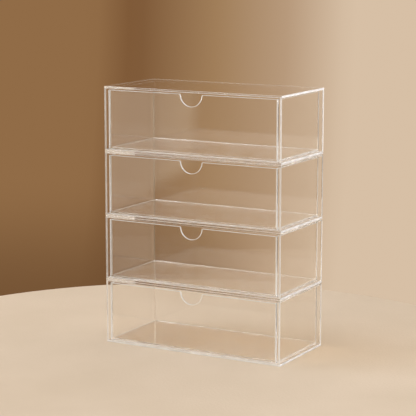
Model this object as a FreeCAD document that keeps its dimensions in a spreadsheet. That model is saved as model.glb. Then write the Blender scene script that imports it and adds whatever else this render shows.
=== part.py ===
"""Stack of four clear acrylic drawer units, modelled in millimetres.

Each unit is an open-fronted case of five cemented sheets that holds a drawer of
five cemented sheets.  The units stand loose on one another.
+Z is up, the drawers open towards -Y, and the origin is the middle of the
lowest unit's underside.
"""
import FreeCAD, Part

import math
import os

import Sketcher

doc = FreeCAD.newDocument("acrylic_drawers")

# ------------------------------------------------------------- driving sizes
SIZES = [
    ("case_width", 280.0, "outside of one unit, left to right"),
    ("case_depth", 131.0, "outside of one unit, front to back"),
    ("case_height", 92.6, "outside of one unit, and so the pitch of the stack"),
    ("case_sheet", 3.0, "thickness of the sheet that the case is cut from"),
    ("drawer_sheet", 3.0, "thickness of the sheet that the drawer is cut from"),
    ("side_clearance", 3.4, "between a drawer and each side wall of its case"),
    ("top_clearance", 2.0, "between a drawer's top edges and the panel above"),
    ("floor_clearance", 0.2, "running clearance under a drawer"),
    ("back_clearance", 3.0, "between a closed drawer and the back of its case"),
    ("front_recess", 1.0, "from the case's front edges back to a closed drawer"),
    ("notch_radius", 17.0, "radius of the finger notch"),
    ("notch_depth", 17.0, "from the drawer's top edge down to the notch's lowest point"),
    ("notch_rounding", 2.0, "radius of the two corners where the notch meets the top edge"),
]

sheet = doc.addObject("Spreadsheet::Sheet", "sizes")
for row, (alias, value, meaning) in enumerate(SIZES, start=1):
    sheet.set(f"A{row}", alias)
    sheet.set(f"B{row}", str(value))
    sheet.setAlias(f"B{row}", alias)
    sheet.set(f"C{row}", meaning)
doc.recompute()

# ------------------------- lengths that follow, as expressions over the sheet
CASE_INNER_WIDTH = "(sizes.case_width - 2 * sizes.case_sheet)"
CASE_INNER_HEIGHT = "(sizes.case_height - 2 * sizes.case_sheet)"
CASE_WALL_DEPTH = "(sizes.case_depth - sizes.case_sheet)"

DRAWER_WIDTH = f"({CASE_INNER_WIDTH} - 2 * sizes.side_clearance)"
DRAWER_HEIGHT = f"({CASE_INNER_HEIGHT} - sizes.top_clearance - sizes.floor_clearance)"
DRAWER_WALL_HEIGHT = f"({DRAWER_HEIGHT} - sizes.drawer_sheet)"
DRAWER_FLOOR_DEPTH = (
    f"({CASE_WALL_DEPTH} - sizes.front_recess - sizes.drawer_sheet - sizes.back_clearance)"
)
DRAWER_SIDE_DEPTH = f"({DRAWER_FLOOR_DEPTH} - sizes.drawer_sheet)"

# Faces that pieces are set against, measured from the origin.
CASE_LEFT = "(-sizes.case_width / 2)"
CASE_FRONT = "(-sizes.case_depth / 2)"
DRAWER_LEFT = f"({CASE_LEFT} + sizes.case_sheet + sizes.side_clearance)"
DRAWER_FRONT = f"({CASE_FRONT} + sizes.front_recess)"
DRAWER_FLOOR_FRONT = f"({DRAWER_FRONT} + sizes.drawer_sheet)"

UNIT_COUNT = 4

# The way a sheet lies: the origin plane it is drawn on, and whether its
# thickness runs against that plane's normal, so that it always runs in +X, +Y or +Z.
LEVEL = ("XY_Plane", False)
FACING = ("XZ_Plane", True)
SIDEWAYS = ("YZ_Plane", False)

START, END, CENTRE = 1, 2, 3
SKETCH_ORIGIN = (-1, START)


def length_of(expression):
    """The present length in millimetres of an expression over the sheet."""
    return float(sheet.evalExpression(expression))


def start_sketch(label, plane):
    """A new body with an empty sketch on one of its own origin planes."""
    body = doc.addObject("PartDesign::Body", label)
    body.Label = label
    sketch = body.newObject("Sketcher::SketchObject", f"{label}_outline")
    planes = [item for item in body.Origin.OriginFeatures if item.Role == plane]
    sketch.AttachmentSupport = [(planes[0], "")]
    sketch.MapMode = "FlatFace"
    return body, sketch


def bind_size(sketch, constraint, name, expression):
    """Add a constraint to the sketch under a name and tie it to the sheet."""
    index = sketch.addConstraint(constraint)
    sketch.renameConstraint(index, name)
    sketch.setExpression(f"Constraints.{name}", expression)


def join_ends(sketch, first, second):
    """Make two line ends meet, each given as (geometry, end)."""
    sketch.addConstraint(Sketcher.Constraint("Coincident", *first, *second))


def line(x1, y1, x2, y2):
    return Part.LineSegment(FreeCAD.Vector(x1, y1, 0), FreeCAD.Vector(x2, y2, 0))


def arc(x, y, radius, start_angle, end_angle):
    circle = Part.Circle(FreeCAD.Vector(x, y, 0), FreeCAD.Vector(0, 0, 1), radius)
    return Part.ArcOfCircle(circle, start_angle, end_angle)


def cut_from_sheet(body, sketch, against_normal, thickness, corner):
    """Give the outline its thickness and set its lowest corner where it belongs."""
    pad = body.newObject("PartDesign::Pad", f"{body.Label}_sheet")
    pad.Profile = sketch
    pad.Reversed = against_normal
    pad.setExpression("Length", thickness)
    for direction, expression in zip("xyz", corner):
        body.setExpression(f"Placement.Base.{direction}", expression)


def rectangular_sheet(label, lie, across, up, thickness, corner):
    """A rectangle cut from sheet, with two side lengths and its lowest corner."""
    plane, against_normal = lie
    body, sketch = start_sketch(label, plane)
    wide = length_of(across)
    tall = length_of(up)
    bottom, right, top, left = sketch.addGeometry(
        [
            line(0, 0, wide, 0),
            line(wide, 0, wide, tall),
            line(wide, tall, 0, tall),
            line(0, tall, 0, 0),
        ]
    )
    for side, following in ((bottom, right), (right, top), (top, left), (left, bottom)):
        join_ends(sketch, (side, END), (following, START))
    join_ends(sketch, (bottom, START), SKETCH_ORIGIN)
    for side in (bottom, top):
        sketch.addConstraint(Sketcher.Constraint("Horizontal", side))
    for side in (right, left):
        sketch.addConstraint(Sketcher.Constraint("Vertical", side))
    bind_size(sketch, Sketcher.Constraint("DistanceX", bottom, START, bottom, END, wide),
              "across", across)
    bind_size(sketch, Sketcher.Constraint("DistanceY", right, START, right, END, tall),
              "up", up)
    cut_from_sheet(body, sketch, against_normal, thickness, corner)
    return body


def notched_sheet(label, across, up, thickness, corner):
    """A drawer front: a rectangle with a round finger notch in its top edge."""
    plane, against_normal = FACING
    body, sketch = start_sketch(label, plane)
    wide = length_of(across)
    tall = length_of(up)
    radius = length_of("sizes.notch_radius")
    rounding = length_of("sizes.notch_rounding")
    centre_height = f"({up} - sizes.notch_depth + sizes.notch_radius)"
    middle_x = wide / 2
    middle_y = length_of(centre_height)

    # Each rounding touches the top edge and the notch, so its centre is one
    # rounding below the edge and radius + rounding away from the notch's centre.
    rounding_y = tall - rounding
    reach = math.sqrt((radius + rounding) ** 2 - (rounding_y - middle_y) ** 2)
    lean = math.atan2(rounding_y - middle_y, reach)

    outline = sketch.addGeometry(
        [
            line(0, 0, wide, 0),
            line(wide, 0, wide, tall),
            line(wide, tall, middle_x + reach, tall),
            arc(middle_x + reach, rounding_y, rounding, math.pi / 2, math.pi + lean),
            arc(middle_x, middle_y, radius, math.pi - lean, 2 * math.pi + lean),
            arc(middle_x - reach, rounding_y, rounding, -lean, math.pi / 2),
            line(middle_x - reach, tall, 0, tall),
            line(0, tall, 0, 0),
        ]
    )
    bottom, right, top_right, round_right, notch, round_left, top_left, left = outline
    join_ends(sketch, (bottom, START), SKETCH_ORIGIN)
    join_ends(sketch, (bottom, END), (right, START))
    join_ends(sketch, (right, END), (top_right, START))
    join_ends(sketch, (top_left, END), (left, START))
    join_ends(sketch, (left, END), (bottom, START))
    for first, second in (
        ((top_right, END), (round_right, START)),
        ((round_right, END), (notch, END)),
        ((notch, START), (round_left, START)),
        ((round_left, END), (top_left, START)),
    ):
        sketch.addConstraint(Sketcher.Constraint("Tangent", *first, *second))
    for side in (bottom, top_right, top_left):
        sketch.addConstraint(Sketcher.Constraint("Horizontal", side))
    sketch.addConstraint(Sketcher.Constraint("Horizontal", right, END, left, START))
    for side in (right, left):
        sketch.addConstraint(Sketcher.Constraint("Vertical", side))
    sketch.addConstraint(Sketcher.Constraint("Equal", round_right, round_left))
    bind_size(sketch, Sketcher.Constraint("DistanceX", bottom, START, bottom, END, wide),
              "across", across)
    bind_size(sketch, Sketcher.Constraint("DistanceY", right, START, right, END, tall),
              "up", up)
    bind_size(sketch, Sketcher.Constraint("Radius", notch, radius),
              "notch_radius", "sizes.notch_radius")
    bind_size(sketch, Sketcher.Constraint("Radius", round_right, rounding),
              "notch_rounding", "sizes.notch_rounding")
    bind_size(sketch, Sketcher.Constraint("DistanceX", *SKETCH_ORIGIN, notch, CENTRE, middle_x),
              "notch_middle", f"{across} / 2")
    bind_size(sketch, Sketcher.Constraint("DistanceY", *SKETCH_ORIGIN, notch, CENTRE, middle_y),
              "notch_height", centre_height)
    cut_from_sheet(body, sketch, against_normal, thickness, corner)
    return body


def make_case(unit, base):
    """Five sheets: top and bottom run full width, the back and walls stand between them."""
    sheet_size = "sizes.case_sheet"
    inner_floor = f"({base} + {sheet_size})"
    back_front_face = f"({CASE_FRONT} + {CASE_WALL_DEPTH})"
    right_wall_left = f"({CASE_LEFT} + {sheet_size} + {CASE_INNER_WIDTH})"
    return [
        rectangular_sheet(
            f"unit{unit}_case_bottom", LEVEL, "sizes.case_width", "sizes.case_depth", sheet_size,
            (CASE_LEFT, CASE_FRONT, base)),
        rectangular_sheet(
            f"unit{unit}_case_top", LEVEL, "sizes.case_width", "sizes.case_depth", sheet_size,
            (CASE_LEFT, CASE_FRONT, f"{inner_floor} + {CASE_INNER_HEIGHT}")),
        rectangular_sheet(
            f"unit{unit}_case_back", FACING, "sizes.case_width", CASE_INNER_HEIGHT, sheet_size,
            (CASE_LEFT, back_front_face, inner_floor)),
        rectangular_sheet(
            f"unit{unit}_case_left_wall", SIDEWAYS, CASE_WALL_DEPTH, CASE_INNER_HEIGHT, sheet_size,
            (CASE_LEFT, CASE_FRONT, inner_floor)),
        rectangular_sheet(
            f"unit{unit}_case_right_wall", SIDEWAYS, CASE_WALL_DEPTH, CASE_INNER_HEIGHT, sheet_size,
            (right_wall_left, CASE_FRONT, inner_floor)),
    ]


def make_drawer(unit, base):
    """Five sheets: the front covers the floor's edge, the rest stand on the floor."""
    sheet_size = "sizes.drawer_sheet"
    underside = f"({base} + sizes.case_sheet + sizes.floor_clearance)"
    floor_top = f"({underside} + {sheet_size})"
    back_front_face = f"({DRAWER_FLOOR_FRONT} + {DRAWER_SIDE_DEPTH})"
    right_side_left = f"({DRAWER_LEFT} + {DRAWER_WIDTH} - {sheet_size})"
    return [
        notched_sheet(
            f"unit{unit}_drawer_front", DRAWER_WIDTH, DRAWER_HEIGHT, sheet_size,
            (DRAWER_LEFT, DRAWER_FRONT, underside)),
        rectangular_sheet(
            f"unit{unit}_drawer_floor", LEVEL, DRAWER_WIDTH, DRAWER_FLOOR_DEPTH, sheet_size,
            (DRAWER_LEFT, DRAWER_FLOOR_FRONT, underside)),
        rectangular_sheet(
            f"unit{unit}_drawer_back", FACING, DRAWER_WIDTH, DRAWER_WALL_HEIGHT, sheet_size,
            (DRAWER_LEFT, back_front_face, floor_top)),
        rectangular_sheet(
            f"unit{unit}_drawer_left_side", SIDEWAYS, DRAWER_SIDE_DEPTH, DRAWER_WALL_HEIGHT,
            sheet_size, (DRAWER_LEFT, DRAWER_FLOOR_FRONT, floor_top)),
        rectangular_sheet(
            f"unit{unit}_drawer_right_side", SIDEWAYS, DRAWER_SIDE_DEPTH, DRAWER_WALL_HEIGHT,
            sheet_size, (right_side_left, DRAWER_FLOOR_FRONT, floor_top)),
    ]


# ------------------------------------------------------------------ the stack
pieces = []
for unit in range(1, UNIT_COUNT + 1):
    unit_base = f"({unit - 1} * sizes.case_height)"
    pieces += make_case(unit, unit_base)
    pieces += make_drawer(unit, unit_base)
doc.recompute()

# ------------------------------------------------------------ check and write
for item in doc.Objects:
    if "Invalid" in item.State or "Error" in item.State:
        raise RuntimeError(f"{item.Label} did not recompute")
    if item.TypeId == "Sketcher::SketchObject" and not item.FullyConstrained:
        raise RuntimeError(f"{item.Label} is not fully constrained")
for piece in pieces:
    if piece.Shape.isNull() or not piece.Shape.isValid() or len(piece.Shape.Solids) != 1:
        raise RuntimeError(f"{piece.Label} is not one valid solid")

os.makedirs("parts", exist_ok=True)
for piece in pieces:
    piece.Shape.exportStep(f"parts/{piece.Label}.step")
print(f"{len(pieces)} sheets written")
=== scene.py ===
import math

import bmesh
import bpy
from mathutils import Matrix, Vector


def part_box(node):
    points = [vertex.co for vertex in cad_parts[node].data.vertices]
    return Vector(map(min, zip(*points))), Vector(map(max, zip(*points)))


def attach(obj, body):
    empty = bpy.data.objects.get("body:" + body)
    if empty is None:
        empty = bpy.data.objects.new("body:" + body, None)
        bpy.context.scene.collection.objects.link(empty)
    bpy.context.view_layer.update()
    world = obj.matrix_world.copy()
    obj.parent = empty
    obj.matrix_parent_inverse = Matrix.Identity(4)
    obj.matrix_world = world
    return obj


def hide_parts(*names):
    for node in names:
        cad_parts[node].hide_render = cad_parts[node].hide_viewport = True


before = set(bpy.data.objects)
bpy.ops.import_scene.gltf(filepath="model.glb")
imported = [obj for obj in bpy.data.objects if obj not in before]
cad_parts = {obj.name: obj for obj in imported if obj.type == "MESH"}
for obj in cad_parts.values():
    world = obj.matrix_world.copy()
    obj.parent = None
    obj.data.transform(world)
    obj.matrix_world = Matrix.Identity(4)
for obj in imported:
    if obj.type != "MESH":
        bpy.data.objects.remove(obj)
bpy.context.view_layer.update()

scene = bpy.context.scene
scene.view_settings.view_transform = "Standard"

# ---------------------------------------------------------------- camera
# A long lens stands to the right of the stack and a little above it, so that the front,
# the right wall and the top sheet all show.
SENSOR_WIDTH = 36.0
LENS_LENGTH = 137.8
CAMERA_PLACE = (1.083, -1.945, 0.587)
CAMERA_DIP = math.radians(9.91)
CAMERA_TURN = math.radians(29.31)
UPRIGHT = math.radians(90)

camera_data = bpy.data.cameras.new("camera")
camera_data.sensor_width = SENSOR_WIDTH
camera_data.lens = LENS_LENGTH
camera = bpy.data.objects.new("camera", camera_data)
camera.location = CAMERA_PLACE
camera.rotation_euler = (UPRIGHT - CAMERA_DIP, 0.0, CAMERA_TURN)
scene.collection.objects.link(camera)
scene.camera = camera

# ---------------------------------------------------------------- light inside the sheets
# Light that enters the edge of a clear sheet bounces along it to the far edge, and a line
# of sight through the stack crosses some forty surfaces, so paths are let run long.
LONG_PATH = 64
SHORT_PATH = 4

scene.cycles.max_bounces = LONG_PATH
scene.cycles.transmission_bounces = LONG_PATH
scene.cycles.glossy_bounces = LONG_PATH
scene.cycles.transparent_max_bounces = LONG_PATH
scene.cycles.diffuse_bounces = SHORT_PATH

# ---------------------------------------------------------------- plinth
# The stack stands on a wide round plaster plinth painted a pale cream. It is trowelled
# smooth, with a faint mottle left in the paint and its rim rubbed round.
PLINTH_RADIUS = 0.50
PLINTH_HEIGHT = 0.06
PLINTH_CENTRE = (0.005, -0.105)
PLINTH_SEGMENTS = 256
PLINTH_ARRIS = 0.004
ARRIS_SEGMENTS = 4
PLINTH_TONES = ((0.560, 0.460, 0.350, 1), (0.610, 0.506, 0.396, 1))
MOTTLE_SCALE = 5.0
MOTTLE_DETAIL = 4.0
MOTTLE_SPAN = (0.3, 0.7)
PLASTER_GRAIN = 260.0
PLASTER_DETAIL = 3.0
PLASTER_DEPTH = 0.0003
PLASTER_ROUGHNESS = 0.75
SHARP = math.radians(30)


def new_material(name):
    material = bpy.data.materials.new(name)
    material.use_nodes = True
    return material, material.node_tree.nodes, material.node_tree.links


def noise_on(nodes, links, scale, detail, stretch=(1, 1, 1)):
    """Cloudy noise that stays where it is on the piece."""
    place = nodes.new("ShaderNodeTexCoord")
    turn = nodes.new("ShaderNodeMapping")
    turn.inputs["Scale"].default_value = stretch
    noise = nodes.new("ShaderNodeTexNoise")
    noise.inputs["Scale"].default_value = scale
    noise.inputs["Detail"].default_value = detail
    links.new(place.outputs["Object"], turn.inputs["Vector"])
    links.new(turn.outputs["Vector"], noise.inputs["Vector"])
    return noise.outputs["Fac"]


def tones_from(nodes, links, value, span, tones):
    """A colour that goes from the first tone to the second as the value crosses the span."""
    ramp = nodes.new("ShaderNodeValToRGB")
    for stop, place, tone in zip(ramp.color_ramp.elements, span, tones):
        stop.position = place
        stop.color = tone
    links.new(value, ramp.inputs["Fac"])
    return ramp.outputs["Color"]


def range_from(nodes, links, value, span, results):
    """A number that goes from the first result to the second as the value crosses the span."""
    reach = nodes.new("ShaderNodeMapRange")
    reach.interpolation_type = "SMOOTHSTEP"
    reach.inputs["From Min"].default_value = span[0]
    reach.inputs["From Max"].default_value = span[1]
    reach.inputs["To Min"].default_value = results[0]
    reach.inputs["To Max"].default_value = results[1]
    links.new(value, reach.inputs["Value"])
    return reach.outputs["Result"]


plaster, nodes, links = new_material("plinth_plaster")
paint = nodes["Principled BSDF"]
paint.inputs["Roughness"].default_value = PLASTER_ROUGHNESS
mottle = noise_on(nodes, links, MOTTLE_SCALE, MOTTLE_DETAIL)
links.new(tones_from(nodes, links, mottle, MOTTLE_SPAN, PLINTH_TONES), paint.inputs["Base Color"])
trowelled = nodes.new("ShaderNodeBump")
trowelled.inputs["Distance"].default_value = PLASTER_DEPTH
links.new(noise_on(nodes, links, PLASTER_GRAIN, PLASTER_DETAIL), trowelled.inputs["Height"])
links.new(trowelled.outputs["Normal"], paint.inputs["Normal"])

bm = bmesh.new()
bmesh.ops.create_cone(bm, cap_ends=True, segments=PLINTH_SEGMENTS, radius1=PLINTH_RADIUS,
                      radius2=PLINTH_RADIUS, depth=PLINTH_HEIGHT)
bmesh.ops.translate(bm, verts=bm.verts, vec=(*PLINTH_CENTRE, -PLINTH_HEIGHT / 2))
rims = [edge for edge in bm.edges if edge.calc_face_angle() > SHARP]
bmesh.ops.bevel(bm, geom=rims, offset=PLINTH_ARRIS, segments=ARRIS_SEGMENTS, profile=0.5,
                affect="EDGES", material=-1)
mesh = bpy.data.meshes.new("plinth")
bm.to_mesh(mesh)
bm.free()
mesh.materials.append(plaster)
plinth = bpy.data.objects.new("plinth", mesh)
scene.collection.objects.link(plinth)

# ---------------------------------------------------------------- backdrop
# A plain painted backdrop goes all the way round: warm beige, falling off to brown painted
# shade in the corner on the left, darkest low in that corner, dim behind the lens and pale
# above it, where a pale screen leans too. A pale ceiling closes it, and lights the edges of
# the sheets from above.
# Tones along the wall, from brown painted shade on the left to lit beige on the right.
BACKDROP_TONES = (
    (0.226, (0.283, 0.150, 0.063, 1)),
    (0.236, (0.200, 0.094, 0.036, 1)),
    (0.259, (0.362, 0.216, 0.105, 1)),
    (0.278, (0.480, 0.325, 0.205, 1)),
    (0.295, (0.680, 0.525, 0.380, 1)),
)
LEFT_TO_RIGHT = (-1.0, 1.0)
RISING, FALLING = (0.0, 1.0), (1.0, 0.0)
FRONT_SPAN = (-0.25, 0.15)
FRONT_BELOW = (0.46, 0.32, 0.20, 1)
FRONT_ABOVE = (1.05, 0.90, 0.75, 1)
SILL_SPAN = (0.0, 0.12)
CORNER_SHADE = (0.155, 0.075, 0.030, 1)
CORNER_SPAN, CORNER_SHARE = (-0.50, -0.44), (0.8, 0.0)
SKIRTING_SPAN = (-0.23, -0.15)
CEILING = (0.70, 0.66, 0.62, 1)
CEILING_SPAN = (0.36, 0.60)
SCREEN = (1.00, 0.84, 0.64, 1)
SCREEN_LEFT_SPAN, SCREEN_RIGHT_SPAN = (-0.56, -0.54), (-0.499, -0.489)
SCREEN_SLANT = -0.63
SCREEN_FOOT_SPAN = (0.157, 0.172)

world = bpy.data.worlds.new("backdrop")
scene.world = world
world.use_nodes = True
nodes, links = world.node_tree.nodes, world.node_tree.links
direction = nodes.new("ShaderNodeTexCoord")
heading = nodes.new("ShaderNodeSeparateXYZ")
links.new(direction.outputs["Generated"], heading.inputs["Vector"])
sideways, ahead, upward = (heading.outputs[axis] for axis in "XYZ")
first, *between, last = BACKDROP_TONES
along_wall = nodes.new("ShaderNodeMapRange")
along_wall.inputs["From Min"].default_value = LEFT_TO_RIGHT[0]
along_wall.inputs["From Max"].default_value = LEFT_TO_RIGHT[1]
links.new(sideways, along_wall.inputs["Value"])
room = tones_from(nodes, links, along_wall.outputs["Result"], (first[0], last[0]), (first[1], last[1]))
for place, tone in between:
    room.node.color_ramp.elements.new(place).color = tone


def paint_over(nodes, links, shares, under, colour):
    """Paints a colour over what is under it, as far as all the shares together say."""
    share = shares[0]
    for other in shares[1:]:
        both = nodes.new("ShaderNodeMath")
        both.operation = "MULTIPLY"
        links.new(share, both.inputs[0])
        links.new(other, both.inputs[1])
        share = both.outputs["Value"]
    coat = nodes.new("ShaderNodeMix")
    coat.data_type = "RGBA"
    coat.inputs["B"].default_value = colour
    links.new(share, coat.inputs["Factor"])
    links.new(under, coat.inputs["A"])
    return coat.outputs["Result"]


slanted = nodes.new("ShaderNodeMath")
slanted.operation = "MULTIPLY_ADD"
slanted.inputs[1].default_value = SCREEN_SLANT
links.new(sideways, slanted.inputs[0])
links.new(upward, slanted.inputs[2])
in_front = range_from(nodes, links, ahead, FRONT_SPAN, FALLING)
above_sill = range_from(nodes, links, upward, SILL_SPAN, RISING)
overhead = range_from(nodes, links, upward, CEILING_SPAN, RISING)
near_skirting = range_from(nodes, links, upward, SKIRTING_SPAN, FALLING)
in_corner = range_from(nodes, links, sideways, CORNER_SPAN, CORNER_SHARE)
on_screen = [in_front,
             range_from(nodes, links, sideways, SCREEN_LEFT_SPAN, RISING),
             range_from(nodes, links, sideways, SCREEN_RIGHT_SPAN, FALLING),
             range_from(nodes, links, slanted.outputs["Value"], SCREEN_FOOT_SPAN, RISING)]
# Painted shade, darkest low in the corner on the left.
room = paint_over(nodes, links, [near_skirting, in_corner], room, CORNER_SHADE)
room = paint_over(nodes, links, [in_front], room, FRONT_BELOW)
room = paint_over(nodes, links, on_screen, room, SCREEN)
room = paint_over(nodes, links, [in_front, above_sill], room, FRONT_ABOVE)
room = paint_over(nodes, links, [overhead], room, CEILING)
links.new(room, nodes["Background"].inputs["Color"])

# ---------------------------------------------------------------- studio lamps
# Soft lamps: a high window on the left gives the light its direction, one behind rims the
# top edges, and two low ones light the edges that face right and front. Only the window
# shows in the sheets, so that no wide white reflections lie across them.
LAMP_AIM = Vector((0.0, 0.0, 0.15))
DAYLIGHT = (0.97, 0.98, 1.0)
COOL_DAYLIGHT = (0.82, 0.91, 1.0)
LAMPLIGHT = (1.0, 0.99, 0.97)
SOFTBOXES = (
    # name, place, width, height, watts, colour, seen in the sheets
    ("window_softbox", (-1.25, -0.6, 1.85), 0.8, 0.8, 22, DAYLIGHT, True),
    ("rear_softbox", (0.4, 1.8, 1.2), 0.9, 0.5, 6, LAMPLIGHT, False),
    ("right_softbox", (1.9, -0.25, 0.33), 0.5, 0.3, 19, COOL_DAYLIGHT, False),
    ("front_softbox", (1.2, -1.6, 0.35), 0.6, 0.5, 14, LAMPLIGHT, False),
)

for name, place, width, height, watts, colour, is_seen in SOFTBOXES:
    lamp_data = bpy.data.lights.new(name, "AREA")
    lamp_data.shape = "RECTANGLE"
    lamp_data.size = width
    lamp_data.size_y = height
    lamp_data.energy = watts
    lamp_data.color = colour
    lamp = bpy.data.objects.new(name, lamp_data)
    lamp.location = place
    lamp.rotation_euler = (LAMP_AIM - Vector(place)).to_track_quat("-Z", "Y").to_euler()
    lamp.visible_glossy = is_seen
    lamp.visible_transmission = is_seen
    scene.collection.objects.link(lamp)

# ---------------------------------------------------------------- case bottom sheets
# Every unit starts with a full-size sheet of 3 mm cast acrylic, laser cut and flame
# polished all round, so that the corners of its edges are eased; white frost on them paints
# the glints they catch. The right edge is sanded in streaks, which also paints the glow of
# light piped along the sheet, and the front edge of the lowest sheet is sanded evenly.
UNITS = (1, 2, 3, 4)
LOWEST_UNIT, TOP_UNIT = UNITS[0], UNITS[-1]
X, Y, Z = 0, 1, 2
LEFT, RIGHT, FRONT, REAR, FOOT, HEAD = (X, -1), (X, 1), (Y, -1), (Y, 1), (Z, -1), (Z, 1)
ACRYLIC_IOR = 1.49
CEMENT_GAP = 0.00004
EASED_CORNER = 0.00035
EASED_SEGMENTS = 3
FACE_TINT = ((0.982, 0.974, 0.965, 1), (0.992, 0.987, 0.979, 1))
EDGE_TINT = ((0.90, 0.90, 0.90, 1), (0.98, 0.98, 0.98, 1))
FACE_SHADE = (0.985, 0.975, 0.960, 1)
EDGE_SHADE = (0.5, 0.5, 0.5, 1)
FROST_WHITE = (0.93, 0.93, 0.93, 1)
SANDED_WHITE = (0.84, 0.84, 0.87, 1)
NO_FROST = (0.0, 0.0)
FROST_BACK_AND_THROUGH = 0.5
TINT_SPAN, TINT_DETAIL = (0.35, 0.65), 3.0
SMUDGE_SPAN, SMUDGE_FINENESS, SMUDGE_DETAIL = (0.5, 0.9), 1.7, 2.0
FROST_SPAN, FROST_FINENESS, FROST_DETAIL = (0.4, 0.6), 1.3, 2.0
SANDING_STREAK = (1, 1, 6)
FACE_GRAIN, EDGE_GRAIN, SANDING_GRAIN, CEMENT_GRAIN = 14.0, 12.0, 45.0, 60.0
FACE_SMUDGE = (0.0, 0.05)
POLISHED_SMUDGE, POLISHED_FROST = (0.06, 0.12), (0.02, 0.05)
EASED_SMUDGE, EASED_GLINT_FROST = (0.10, 0.20), (0.60, 0.60)
CEMENTED_SMUDGE, CEMENTED_FROST = (0.0, 0.08), (0.0, 0.06)
SANDED_SMUDGE, SANDED_GLOW_FROST, EVENLY_SANDED_FROST = (0.0, 0.10), (0.60, 0.90), (0.60, 0.80)


def clear_acrylic(name, grain, smudge, frost, tint=EDGE_TINT, shade=EDGE_SHADE, streak=(1, 1, 1),
                  frost_tone=FROST_WHITE):
    """Clear acrylic with a faint tint, roughness that wanders over the smudge range, a share of
    white frost that wanders over the frost range, and a shadow of its own."""
    material, nodes, links = new_material(name)
    clear = nodes["Principled BSDF"]
    clear.inputs["IOR"].default_value = ACRYLIC_IOR
    clear.inputs["Transmission Weight"].default_value = 1.0
    cloud = noise_on(nodes, links, grain, TINT_DETAIL)
    links.new(tones_from(nodes, links, cloud, TINT_SPAN, tint), clear.inputs["Base Color"])
    wipes = noise_on(nodes, links, grain * SMUDGE_FINENESS, SMUDGE_DETAIL)
    links.new(range_from(nodes, links, wipes, SMUDGE_SPAN, smudge), clear.inputs["Roughness"])
    surface = clear.outputs["BSDF"]
    if frost != NO_FROST:
        back = nodes.new("ShaderNodeBsdfDiffuse")
        back.inputs["Color"].default_value = frost_tone
        through = nodes.new("ShaderNodeBsdfTranslucent")
        through.inputs["Color"].default_value = frost_tone
        scatter = nodes.new("ShaderNodeMixShader")
        scatter.inputs["Fac"].default_value = FROST_BACK_AND_THROUGH
        links.new(back.outputs["BSDF"], scatter.inputs[1])
        links.new(through.outputs["BSDF"], scatter.inputs[2])
        frosted = nodes.new("ShaderNodeMixShader")
        if frost[0] == frost[1]:
            frosted.inputs["Fac"].default_value = frost[0]
        else:
            patches = noise_on(nodes, links, grain * FROST_FINENESS, FROST_DETAIL, streak)
            links.new(range_from(nodes, links, patches, FROST_SPAN, frost), frosted.inputs["Fac"])
        links.new(surface, frosted.inputs[1])
        links.new(scatter.outputs["Shader"], frosted.inputs[2])
        surface = frosted.outputs["Shader"]
    shadow = nodes.new("ShaderNodeBsdfTransparent")
    shadow.inputs["Color"].default_value = shade
    path = nodes.new("ShaderNodeLightPath")
    lamp_side = nodes.new("ShaderNodeMixShader")
    links.new(path.outputs["Is Shadow Ray"], lamp_side.inputs["Fac"])
    links.new(surface, lamp_side.inputs[1])
    links.new(shadow.outputs["BSDF"], lamp_side.inputs[2])
    links.new(lamp_side.outputs["Shader"], nodes["Material Output"].inputs["Surface"])
    return material


sheet_face = clear_acrylic("sheet_face", FACE_GRAIN, FACE_SMUDGE, NO_FROST,
                           tint=FACE_TINT, shade=FACE_SHADE)
polished_edge = clear_acrylic("flame_polished_edge", EDGE_GRAIN, POLISHED_SMUDGE, POLISHED_FROST)
# The white frost on eased corners paints the glints that they catch.
glint_frosted_corner = clear_acrylic("glint_frosted_corner", EDGE_GRAIN, EASED_SMUDGE, EASED_GLINT_FROST)
cemented_edge = clear_acrylic("cemented_edge", CEMENT_GRAIN, CEMENTED_SMUDGE, CEMENTED_FROST)
# The streaked frost on right edges also paints the glow of light piped along the sheets.
sanded_glow_edge = clear_acrylic("sanded_glow_edge", SANDING_GRAIN, SANDED_SMUDGE, SANDED_GLOW_FROST,
                            streak=SANDING_STREAK, frost_tone=SANDED_WHITE)
evenly_sanded_edge = clear_acrylic("evenly_sanded_edge", EDGE_GRAIN, SANDED_SMUDGE,
                                   EVENLY_SANDED_FROST)


def trimmed_block(node):
    """A block of a sheet's size, a hair under it all round, so that cemented faces stay apart."""
    low, high = (Vector(corner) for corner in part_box(node))
    bm = bmesh.new()
    bmesh.ops.create_cube(bm, size=1.0)
    trimmed = high - low - Vector((2 * CEMENT_GAP,) * 3)
    bmesh.ops.scale(bm, vec=trimmed, verts=bm.verts)
    bmesh.ops.translate(bm, vec=(low + high) / 2, verts=bm.verts)
    return bm


def facing(face):
    """The axis a face looks along, and which way along it."""
    axis = max(range(3), key=lambda axis: abs(face.normal[axis]))
    return axis, 1 if face.normal[axis] > 0 else -1


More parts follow.
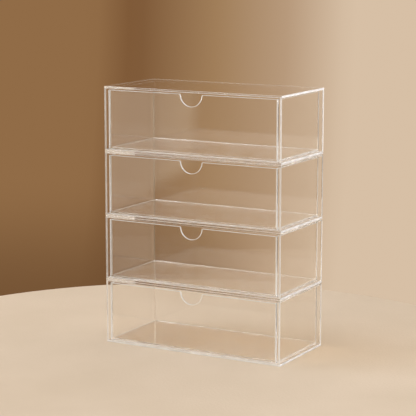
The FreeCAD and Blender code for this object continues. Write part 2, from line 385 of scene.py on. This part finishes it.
def finish_sheet(bm, node, body, bonded=(), broad=sheet_face, edge_finish=polished_edge,
                 own_finish=None, ease=EASED_CORNER):
    """Eases a sheet's open corners, gives each face its finish and puts the sheet on its body."""
    low, high = (Vector(corner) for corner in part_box(node))
    size = high - low
    thin = min(range(3), key=lambda axis: size[axis])
    own_finish = own_finish or {}
    arrises = [edge for edge in bm.edges if edge.calc_face_angle() > SHARP
               and not any(facing(face) in bonded for face in edge.link_faces)]
    made = bmesh.ops.bevel(bm, geom=arrises, offset=ease, segments=EASED_SEGMENTS, profile=0.5,
                           affect="EDGES", material=-1)
    eased = set(made["faces"])
    bmesh.ops.recalc_face_normals(bm, faces=bm.faces)
    outside = {-1: low, 1: high}
    finishes = []
    for face in bm.faces:
        axis, way = way_it_faces = facing(face)
        depth = abs(face.calc_center_median()[axis] - outside[way][axis])
        if face in eased:
            finish = glint_frosted_corner
        elif way_it_faces in own_finish and depth < 2 * CEMENT_GAP:
            finish = own_finish[way_it_faces]
        elif way_it_faces in bonded:
            finish = cemented_edge
        elif axis == thin:
            finish = broad
        else:
            finish = edge_finish
        if finish not in finishes:
            finishes.append(finish)
        face.material_index = finishes.index(finish)
    mesh = bpy.data.meshes.new(node + "_sheet")
    bm.to_mesh(mesh)
    bm.free()
    for finish in finishes:
        mesh.materials.append(finish)
    sheet = bpy.data.objects.new(node + "_sheet", mesh)
    scene.collection.objects.link(sheet)
    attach(sheet, body)
    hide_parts(node)


for unit in UNITS:
    node = f"unit{unit}_case_bottom"
    front_finish = evenly_sanded_edge if unit == LOWEST_UNIT else polished_edge
    finish_sheet(trimmed_block(node), node, f"unit{unit}_case",
                 own_finish={RIGHT: sanded_glow_edge, FRONT: front_finish})

# ---------------------------------------------------------------- case backs
# The back is a sheet of the same acrylic that stands on the rear of the bottom sheet, full
# width, cemented along its lower and upper edges. Its right edge shows beside the wall,
# frosted by the saw, more on some units than on others.
BACK_EDGE_FROST = {1: (0.75, 0.90), 2: (0.90, 0.98), 3: (0.45, 0.55), 4: (0.97, 0.99)}
SAWN_SMUDGE = (0.0, 0.10)

for unit in UNITS:
    node = f"unit{unit}_case_back"
    sawn_edge = clear_acrylic(f"unit{unit}_case_back_edge", EDGE_GRAIN, SAWN_SMUDGE,
                              BACK_EDGE_FROST[unit])
    finish_sheet(trimmed_block(node), node, f"unit{unit}_case",
                 bonded=(FOOT, HEAD), own_finish={RIGHT: sawn_edge})

# ---------------------------------------------------------------- case walls
# Two side walls stand on the bottom sheet in front of the back, cemented to both, with
# matte front edges. The joints on the left carry a brown tone of painted shade, the dark corner
# that they mirror, paler in the lowest unit; the rear joint at the top right is milky.
# Brown tones of painted shade for the joints on the left, which mirror the dark corner.
DARK_JOINT_SHADE = (0.27, 0.19, 0.12, 1)
PALE_JOINT_SHADE = (0.78, 0.67, 0.55, 1)
JOINT_SHADE_SHARE = (0.86, 0.96)
MATTE_SMUDGE, MATTE_FROST = (0.0, 0.10), (0.35, 0.50)
MILKY_FROST = (0.30, 0.60)

matte_edge = clear_acrylic("matte_front_edge", EDGE_GRAIN, MATTE_SMUDGE, MATTE_FROST)
dark_painted_shade_joint = clear_acrylic("dark_painted_shade_joint", CEMENT_GRAIN, CEMENTED_SMUDGE, JOINT_SHADE_SHARE,
                            frost_tone=DARK_JOINT_SHADE)
pale_painted_shade_joint = clear_acrylic("lowest_painted_shade_joint", CEMENT_GRAIN, CEMENTED_SMUDGE, JOINT_SHADE_SHARE,
                           frost_tone=PALE_JOINT_SHADE)
milky_joint = clear_acrylic("milky_joint", EDGE_GRAIN, CEMENTED_SMUDGE, MILKY_FROST)
LEFT_PAINTED_SHADE_JOINT = {1: pale_painted_shade_joint, 2: dark_painted_shade_joint, 3: dark_painted_shade_joint, 4: dark_painted_shade_joint}

for unit in UNITS:
    right_rear = milky_joint if unit == TOP_UNIT else cemented_edge
    for side, rear_joint, foot_joint in (("left", LEFT_PAINTED_SHADE_JOINT[unit], LEFT_PAINTED_SHADE_JOINT[unit]),
                                         ("right", right_rear, cemented_edge)):
        node = f"unit{unit}_case_{side}_wall"
        finish_sheet(trimmed_block(node), node, f"unit{unit}_case",
                     bonded=(REAR, FOOT, HEAD),
                     own_finish={FRONT: matte_edge, REAR: rear_joint, FOOT: foot_joint})

# ---------------------------------------------------------------- case tops
# The top sheet, the same size as the bottom one, is cemented over the back and the walls,
# and the next unit stands on it. Only the highest one is sanded along its right edge, a frost
# that paints the glow of window light piped along the top sheet, which the stack shades below.
for unit in UNITS:
    node = f"unit{unit}_case_top"
    finish_sheet(trimmed_block(node), node, f"unit{unit}_case",
                 own_finish={RIGHT: sanded_glow_edge if unit == TOP_UNIT else polished_edge})

# ---------------------------------------------------------------- case cement beads
# Solvent cement, run along the inner corners under and over the walls and the back with a
# needle, sets as a thin bead with a hollow face, cloudy here and there.
BEAD_LEG = 0.0005
BEAD_STOP = 0.0008
BEAD_STEPS = 5
BEAD_GRAIN, BEAD_SMUDGE, BEAD_FROST = 200.0, (0.05, 0.20), (0.10, 0.26)
RIGHTWARD, REARWARD, UPWARD = Vector((1, 0, 0)), Vector((0, 1, 0)), Vector((0, 0, 1))

set_cement = clear_acrylic("set_cement", BEAD_GRAIN, BEAD_SMUDGE, BEAD_FROST, shade=FACE_SHADE)


def lay_bead(bm, start, end, one_way, other_way, leg=BEAD_LEG):
    """One run of cement from start to end, its two feet on the sheets that meet there."""
    along = (end - start).normalized()
    first = start + along * BEAD_STOP
    one_foot, other_foot = one_way * leg, other_way * leg
    inner = bm.verts.new(first)
    foot = bm.verts.new(first + one_foot)
    bm.edges.new((inner, foot))
    arc = bmesh.ops.spin(bm, geom=[foot], cent=first + one_foot + other_foot,
                         axis=other_way.cross(one_way), angle=math.pi / 2,
                         steps=BEAD_STEPS)["geom_last"]
    bm.edges.new((arc[0], inner))
    outline = [edge for edge in bm.edges if edge.is_wire]
    profile = bmesh.ops.contextual_create(bm, geom=outline)["faces"]
    made = bmesh.ops.extrude_face_region(bm, geom=profile)
    moved = [item for item in made["geom"] if isinstance(item, bmesh.types.BMVert)]
    bmesh.ops.translate(bm, vec=end - start - along * 2 * BEAD_STOP, verts=moved)


def finish_beads(bm, name, body):
    bmesh.ops.recalc_face_normals(bm, faces=bm.faces)
    mesh = bpy.data.meshes.new(name)
    bm.to_mesh(mesh)
    bm.free()
    mesh.materials.append(set_cement)
    beads = bpy.data.objects.new(name, mesh)
    scene.collection.objects.link(beads)
    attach(beads, body)


for unit in UNITS:
    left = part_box(f"unit{unit}_case_left_wall")[1][X]
    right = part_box(f"unit{unit}_case_right_wall")[0][X]
    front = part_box(f"unit{unit}_case_left_wall")[0][Y]
    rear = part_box(f"unit{unit}_case_back")[0][Y]
    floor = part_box(f"unit{unit}_case_bottom")[1][Z]
    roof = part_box(f"unit{unit}_case_top")[0][Z]
    bm = bmesh.new()
    for height, away in ((floor, UPWARD), (roof, -UPWARD)):
        front_left, front_right = Vector((left, front, height)), Vector((right, front, height))
        rear_left, rear_right = Vector((left, rear, height)), Vector((right, rear, height))
        lay_bead(bm, front_left, rear_left, away, RIGHTWARD)
        lay_bead(bm, front_right, rear_right, away, -RIGHTWARD)
        lay_bead(bm, rear_left, rear_right, away, -REARWARD)
    finish_beads(bm, f"unit{unit}_case_cement", f"unit{unit}_case")

# ---------------------------------------------------------------- drawer floors
# The floor of each tray is a sheet that reaches under the sides and the back. What is
# kept in the drawer slides on it, so that its faces are very faintly scuffed. Its right
# edge is lightly sanded, which also paints the glow of light piped along the sheet, and its
# left one carries the brown painted shade of the joints on the left.
SCUFF_GRAIN, SCUFF_SMUDGE, SCUFF_FROST = 40.0, (0.0, 0.07), (0.005, 0.03)
LIGHTLY_SANDED_GLOW_FROST = (0.18, 0.36)

scuffed_face = clear_acrylic("scuffed_face", SCUFF_GRAIN, SCUFF_SMUDGE, SCUFF_FROST,
                             tint=FACE_TINT, shade=FACE_SHADE)
# The lightly sanded right edge also paints the glow of light piped along the sheet.
light_sanded_glow_edge = clear_acrylic("lightly_sanded_glow_edge", SANDING_GRAIN, SANDED_SMUDGE,
                                  LIGHTLY_SANDED_GLOW_FROST, streak=SANDING_STREAK,
                                  frost_tone=SANDED_WHITE)

for unit in UNITS:
    node = f"unit{unit}_drawer_floor"
    finish_sheet(trimmed_block(node), node, f"unit{unit}_drawer",
                 bonded=(FRONT,), broad=scuffed_face,
                 own_finish={LEFT: LEFT_PAINTED_SHADE_JOINT[unit], RIGHT: light_sanded_glow_edge})

# ---------------------------------------------------------------- drawer sides
# Two low sides stand on the floor sheet between the front and the back, cemented to all
# three. Their upper edges are flame polished, since hands reach over them.
for unit in UNITS:
    # The joints on the left carry the brown painted shade of the dark corner.
    for side, joint in (("left", LEFT_PAINTED_SHADE_JOINT[unit]), ("right", cemented_edge)):
        node = f"unit{unit}_drawer_{side}_side"
        finish_sheet(trimmed_block(node), node, f"unit{unit}_drawer",
                     bonded=(FRONT, REAR, FOOT),
                     own_finish={FRONT: matte_edge, REAR: joint, FOOT: joint})

# ---------------------------------------------------------------- drawer backs
# The back of the tray stands on the floor sheet at the full width of the drawer. Its right
# edge is frosted by the saw, and the corners of the highest one are left nearly sharp.
TRAY_BACK_FROST = {1: (0.35, 0.45), 2: (0.85, 0.95), 3: (0.35, 0.50), 4: (0.30, 0.40)}
NEARLY_SHARP = 0.0001

for unit in UNITS:
    node = f"unit{unit}_drawer_back"
    sawn_edge = clear_acrylic(f"unit{unit}_drawer_back_edge", EDGE_GRAIN, SAWN_SMUDGE,
                              TRAY_BACK_FROST[unit])
    finish_sheet(trimmed_block(node), node, f"unit{unit}_drawer",
                 bonded=(FOOT,), own_finish={RIGHT: sawn_edge},
                 ease=NEARLY_SHARP if unit == TOP_UNIT else EASED_CORNER)

# ---------------------------------------------------------------- drawer fronts
# The front covers the ends of the tray. A round finger notch with softened lips is cut in
# the middle of its top edge. The laser has left its edges frosted, and its corners are
# eased a little more than the others.
NOTCH_RADIUS = 0.017
LIP_RADIUS = 0.002
FRONT_EASED = 0.0006
NOTCH_STEPS = 48
LIP_STEPS = 8
LASER_GRAIN, LASER_SMUDGE, LASER_FROST = 25.0, (0.05, 0.15), (0.45, 0.70)
CLEAN_SIDE_FROST = (0.06, 0.18)

laser_cut_edge = clear_acrylic("laser_cut_edge", LASER_GRAIN, LASER_SMUDGE, LASER_FROST)
clean_side_edge = clear_acrylic("clean_side_edge", EDGE_GRAIN, LASER_SMUDGE, CLEAN_SIDE_FROST)

for unit in UNITS:
    node = f"unit{unit}_drawer_front"
    low, high = (Vector(corner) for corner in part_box(node))
    middle = (low.x + high.x) / 2
    top = high.z - CEMENT_GAP
    bottom = low.z + CEMENT_GAP
    left = low.x + CEMENT_GAP
    right = high.x - CEMENT_GAP
    front = low.y + CEMENT_GAP
    thickness = high.y - low.y - 2 * CEMENT_GAP
    lip_across = math.sqrt((NOTCH_RADIUS + LIP_RADIUS) ** 2 - LIP_RADIUS ** 2)
    lip_turn = math.acos(LIP_RADIUS / (NOTCH_RADIUS + LIP_RADIUS))
    bm = bmesh.new()
    start = bm.verts.new((middle - lip_across, front, top))
    lip = bmesh.ops.spin(bm, geom=[start], cent=(middle - lip_across, front, top - LIP_RADIUS),
                         axis=(0, 1, 0), angle=lip_turn, steps=LIP_STEPS)["geom_last"]
    bowl = bmesh.ops.spin(bm, geom=lip, cent=(middle, front, top), axis=(0, -1, 0),
                          angle=2 * lip_turn, steps=NOTCH_STEPS)["geom_last"]
    end = bmesh.ops.spin(bm, geom=bowl, cent=(middle + lip_across, front, top - LIP_RADIUS),
                         axis=(0, 1, 0), angle=lip_turn, steps=LIP_STEPS)["geom_last"][0]
    corners = [bm.verts.new((right, front, top)), bm.verts.new((right, front, bottom)),
               bm.verts.new((left, front, bottom)), bm.verts.new((left, front, top))]
    for one, next_one in zip([end, *corners], [*corners, start]):
        bm.edges.new((one, next_one))
    bmesh.ops.contextual_create(bm, geom=bm.edges)
    made = bmesh.ops.extrude_face_region(bm, geom=list(bm.faces))
    moved = [item for item in made["geom"] if isinstance(item, bmesh.types.BMVert)]
    bmesh.ops.translate(bm, vec=(0, thickness, 0), verts=moved)
    bmesh.ops.recalc_face_normals(bm, faces=bm.faces)
    finish_sheet(bm, node, f"unit{unit}_drawer", edge_finish=laser_cut_edge,
                 own_finish={RIGHT: clean_side_edge}, ease=FRONT_EASED)

# ---------------------------------------------------------------- drawer cement beads
# The same cement runs round the foot of the tray, in a thinner bead along the left side,
# where the needle was held nearly flat.
THIN_LEG = 0.00035

for unit in UNITS:
    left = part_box(f"unit{unit}_drawer_left_side")[1][X]
    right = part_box(f"unit{unit}_drawer_right_side")[0][X]
    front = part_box(f"unit{unit}_drawer_front")[1][Y]
    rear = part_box(f"unit{unit}_drawer_back")[0][Y]
    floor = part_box(f"unit{unit}_drawer_floor")[1][Z]
    front_left, front_right = Vector((left, front, floor)), Vector((right, front, floor))
    rear_left, rear_right = Vector((left, rear, floor)), Vector((right, rear, floor))
    bm = bmesh.new()
    lay_bead(bm, front_left, rear_left, UPWARD, RIGHTWARD, leg=THIN_LEG)
    lay_bead(bm, front_right, rear_right, UPWARD, -RIGHTWARD)
    lay_bead(bm, front_left, front_right, UPWARD, REARWARD)
    lay_bead(bm, rear_left, rear_right, UPWARD, -REARWARD)
    finish_beads(bm, f"unit{unit}_drawer_cement", f"unit{unit}_drawer")
